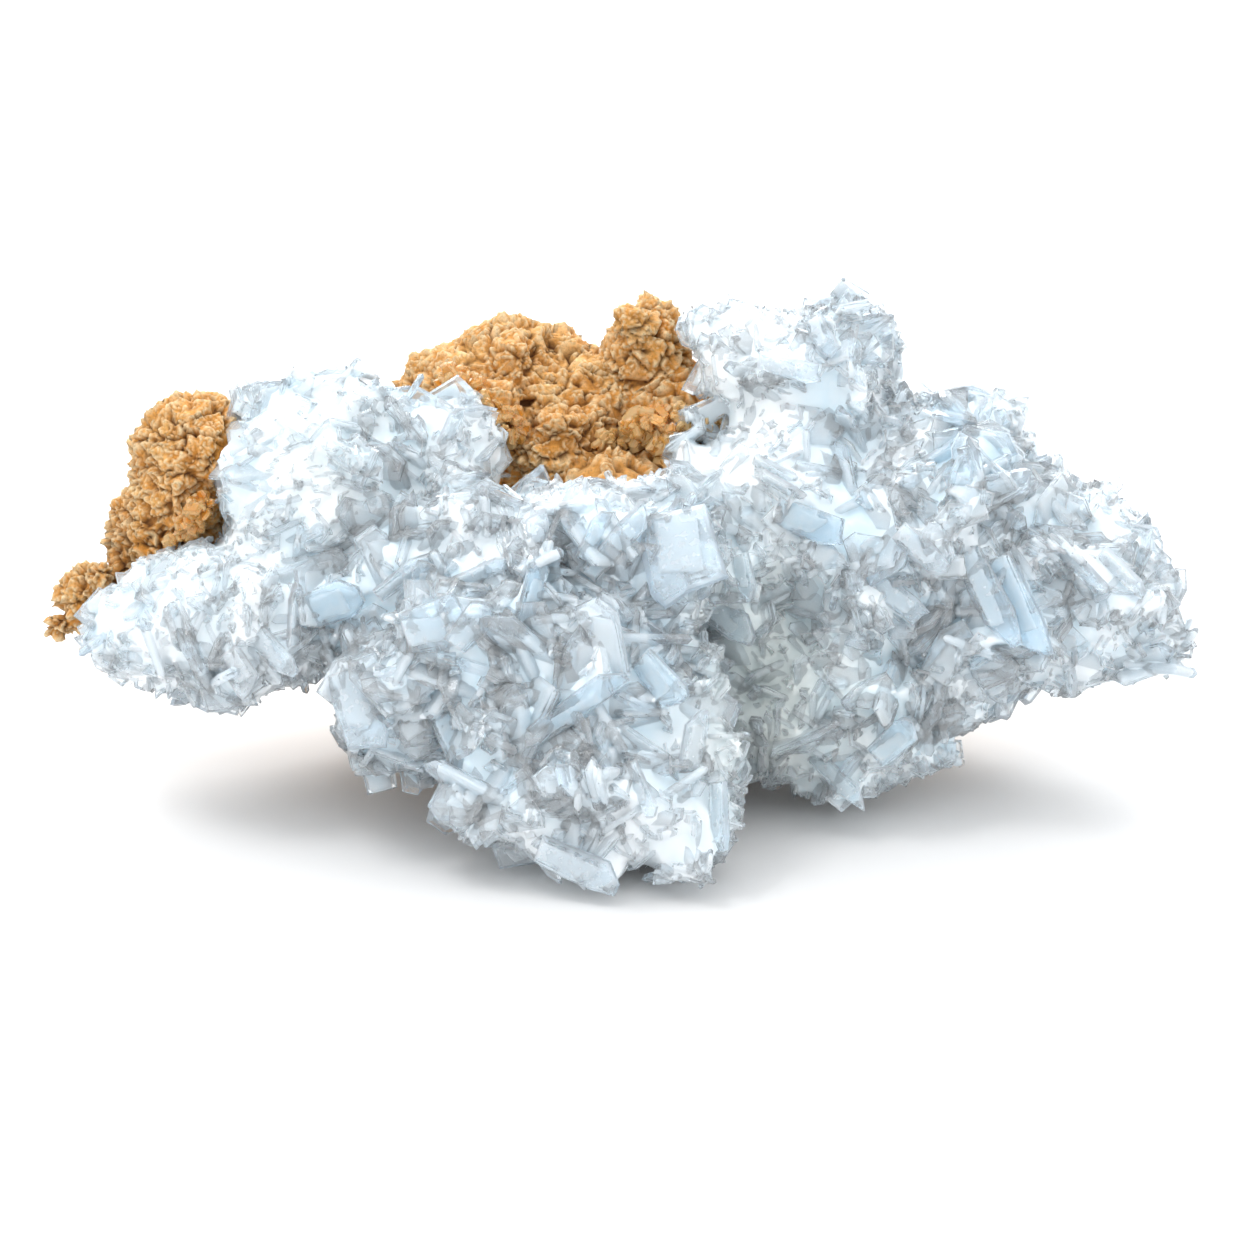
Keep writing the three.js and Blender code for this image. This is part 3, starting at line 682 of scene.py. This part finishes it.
def rock_skin():
    """The limestone: the CAD solid with ledges, crags, crumbs and pits of every size worked into it."""
    skin = grown_skin("limestone", [NODES["limestone_matrix"].data], ROCK_VOXEL, 3, ROCK_TRIANGLES)
    points, normals = corner_array(skin), corner_normals(skin)
    deep = np.zeros(len(points))
    for k, point in enumerate(points):
        where = Vector(point)
        warp = where + noise.noise_vector(where / 4.0) * 2.0
        ridges = noise.ridged_multi_fractal(warp / 9.0, 0.8, 2.2, 6, 1.0, 2.0) - 1.1
        crumbs = noise.hetero_terrain(warp / 1.6, 0.6, 2.1, 4, 0.4) - 0.6
        slab = noise.voronoi(Vector((warp.x, warp.y, warp.z * 2.2)) / 5.5)[0]
        ledge = 1 - smooth_step(slab[1] - slab[0], 0.0, 0.16)
        clod = noise.voronoi((where + noise.noise_vector(where / 1.1) * 0.8) / 2.1)[0]
        crack = 1 - smooth_step(clod[1] - clod[0], 0.0, 0.3)
        pit = 1 - smooth_step(noise.voronoi(warp / 2.6 + Vector((9, 4, 2)))[0][0], 0.1, 0.36)
        broken = smooth_step(noise.noise(where / 8.0 + Vector((3, 1, 7))), -0.35, 0.35)
        net = 1 - smooth_step(abs(noise.noise(where / 1.7 + Vector((5, 8, 1)))), 0.0, 0.12)
        sink = 0.9 * ledge + 0.25 * broken * crack + 1.3 * broken * pit - 0.75 * ridges - 0.5 * crumbs - 0.35 * net
        if point[0] < SPONGY_FROM:
            sink += 1.1 * pit + 0.6 * crack
        points[k] -= normals[k] * sink
        deep[k] = sink
    points[:, 2] = np.maximum(points[:, 2], 0.0)
    set_corners(skin, points)
    # Relief colours: red, dark in pits and grooves, is painted shade; blue, pale on ridges, is partly the rock's own
    # light ridges and partly a painted highlight; green, the iron stain, is filled in later.
    rise = np.clip(convexity(skin) * 1.6, -1, 1)
    relief = np.zeros((len(points), 4))
    relief[:, 0] = np.clip((deep - 0.3) * 0.55 - rise * 0.6, 0, 1)
    relief[:, 2] = np.clip(rise * 1.1 - deep * 0.35, 0, 1)
    relief[:, 3] = 1
    return skin, relief


def smooth_step(value, low, high):
    share = min(max((value - low) / (high - low), 0.0), 1.0)
    return share * share * (3 - 2 * share)


def iron_stain(points, crust_tree):
    """How strongly iron has stained the rock: most along the seam with the crust."""
    stain = np.zeros(len(points))
    for k, point in enumerate(points):
        gap = crust_tree.find_nearest(Vector(point) * MM)[3] / MM
        stain[k] = math.exp(-max(0.0, gap - 1.0) / 3.5) * (0.55 + 0.6 * noise.noise(Vector(point) / 4.0))
    return np.clip(stain, 0, 1)


def build():
    rng = np.random.default_rng(SEED)
    noise.seed_set(SEED)
    blue_barite, amber_barite = barite(), stained_barite()

    base = crust_base()
    base_tree = tree_of(base)
    rock, relief = rock_skin()
    rock_tree = tree_of(rock)
    relief[:, 1] = iron_stain(corner_array(rock), base_tree)
    store(rock, "relief", "FLOAT_COLOR", relief)
    for polygon in rock.polygons:
        polygon.use_smooth = True

    rock_piece = placed("limestone", rock, limestone())
    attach(rock_piece, "root")
    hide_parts("limestone_matrix")

    large = front_blades(base_tree)
    layers = {}
    for name, per_mm2, lean, size in (
        ("medium", 0.125, (52, 88), (6.8, 3.1, 0.8)),
        ("small", 0.22, (15, 65), (3.3, 2.0, 0.55)),
    ):
        points, outward = sampled(base, per_mm2, rng)
        free = clear_of(rock_tree, points, outward, 2.5)
        tablets = standing_tablets(points[free], outward[free], lean, size, rng)
        fine = (tablets["patch"] > -0.15) | (name != "small")
        layers[name] = clear_of_blades(kept(tablets, in_bounds(tablets) & fine), large)

    cloudy = [(layers["small"], 0.8, 0.9, 1.0), (layers["medium"], 0.8, 0.75, 0.7), (large, 0.75, 0.7, 0.4)]
    core_piece = placed("crust_core", milky_crust(base, cloudy, rng), milky_barite())
    crust = {
        "large_blades": tablet_mesh("large_blades", large, 7, rng),
        "medium_blades": tablet_mesh("medium_blades", layers["medium"], 5, rng),
    }
    left_to_right = np.argsort(layers["small"]["root"][:, 0])
    for part, rows in enumerate(np.array_split(left_to_right, SMALL_PARTS), 1):
        name = f"small_blades_{part}"
        crust[name] = tablet_mesh(name, kept(layers["small"], rows), 4, rng)
    pieces = [core_piece] + [placed(name, mesh, blue_barite) for name, mesh in crust.items()]
    for piece in pieces:
        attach(piece, "root")
        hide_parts("barite_crust")

    for node in ("amber_crystals_front", "amber_crystals_slope", "amber_crystals_left"):
        skin = grown_skin(node + "_skin", [NODES[node].data], 0.5, 3)
        points, outward = sampled(skin, 1.0, rng)
        free = clear_of(rock_tree, points, outward, 1.2)
        tablets = standing_tablets(points[free], outward[free], (10, 75), (2.3, 1.5, 0.9), rng)
        mesh = tablet_mesh(node.replace("amber", "stained"), tablets, 5, rng)
        piece = placed(node.replace("amber", "stained"), mesh, amber_barite)
        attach(piece, "root")
        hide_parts(node)


def studio():
    """A pale floor, a bright soft surround, and a large soft light in front of the specimen and one behind it."""
    scene = bpy.context.scene
    scene.view_settings.view_transform = "Standard"
    scene.cycles.max_bounces = 8
    scene.cycles.glossy_bounces = 8
    scene.cycles.transmission_bounces = 8
    scene.cycles.diffuse_bounces = 3
    scene.cycles.blur_glossy = 0.0
    world = bpy.data.worlds.new("surround")
    scene.world = world
    world.use_nodes = True
    tree = world.node_tree
    facing = add(tree, "ShaderNodeVectorMath",
                 {0: add(tree, "ShaderNodeTexCoord").outputs["Generated"], 1: (0.0, 0.28, 0.96)},
                 operation="DOT_PRODUCT")
    glow = add(tree, "ShaderNodeMapRange", {0: facing.outputs["Value"], 1: -0.3, 2: 1.0, 3: 1.02, 4: 1.82})
    tree.links.new(tree.nodes["Background"].inputs["Strength"], glow.outputs[0])
    tree.nodes["Background"].inputs["Color"].default_value = linear("#fbfcfd")

    mesh = bpy.data.meshes.new("floor")
    half = 1.5
    mesh.from_pydata([(-half, -half, 0), (half, -half, 0), (half, half, 0), (-half, half, 0)], [], [(0, 1, 2, 3)])
    material, _, shader = new_material("studio_floor")
    shader.inputs["Base Color"].default_value = linear("#e3e3e3")
    shader.inputs["Roughness"].default_value = 0.9
    floor = placed("floor", mesh, material)
    floor.location.z = -0.02 * MM

    for name, place, size, power in (
        ("key", (-0.3, -0.1, 0.75), 0.24, 1.3),
        ("back", (-0.05, 0.55, 0.5), 0.35, 3.0),
    ):
        light = bpy.data.lights.new(name, "AREA")
        light.size = size
        light.energy = power
        lamp = bpy.data.objects.new(name, light)
        scene.collection.objects.link(lamp)
        lamp.location = place
        lamp.rotation_euler = (Vector(place) - TARGET).to_track_quat("Z", "Y").to_euler()

    camera = bpy.data.cameras.new("camera")
    camera.sensor_width = 36
    camera.lens = 36 * DISTANCE / (PICTURE_SIDE * PIXEL)
    camera.clip_end = 10
    view = bpy.data.objects.new("camera", camera)
    scene.collection.objects.link(view)
    view.location = EYE
    view.rotation_euler = OUT.to_track_quat("Z", "Y").to_euler()
    scene.camera = view


studio()
build()
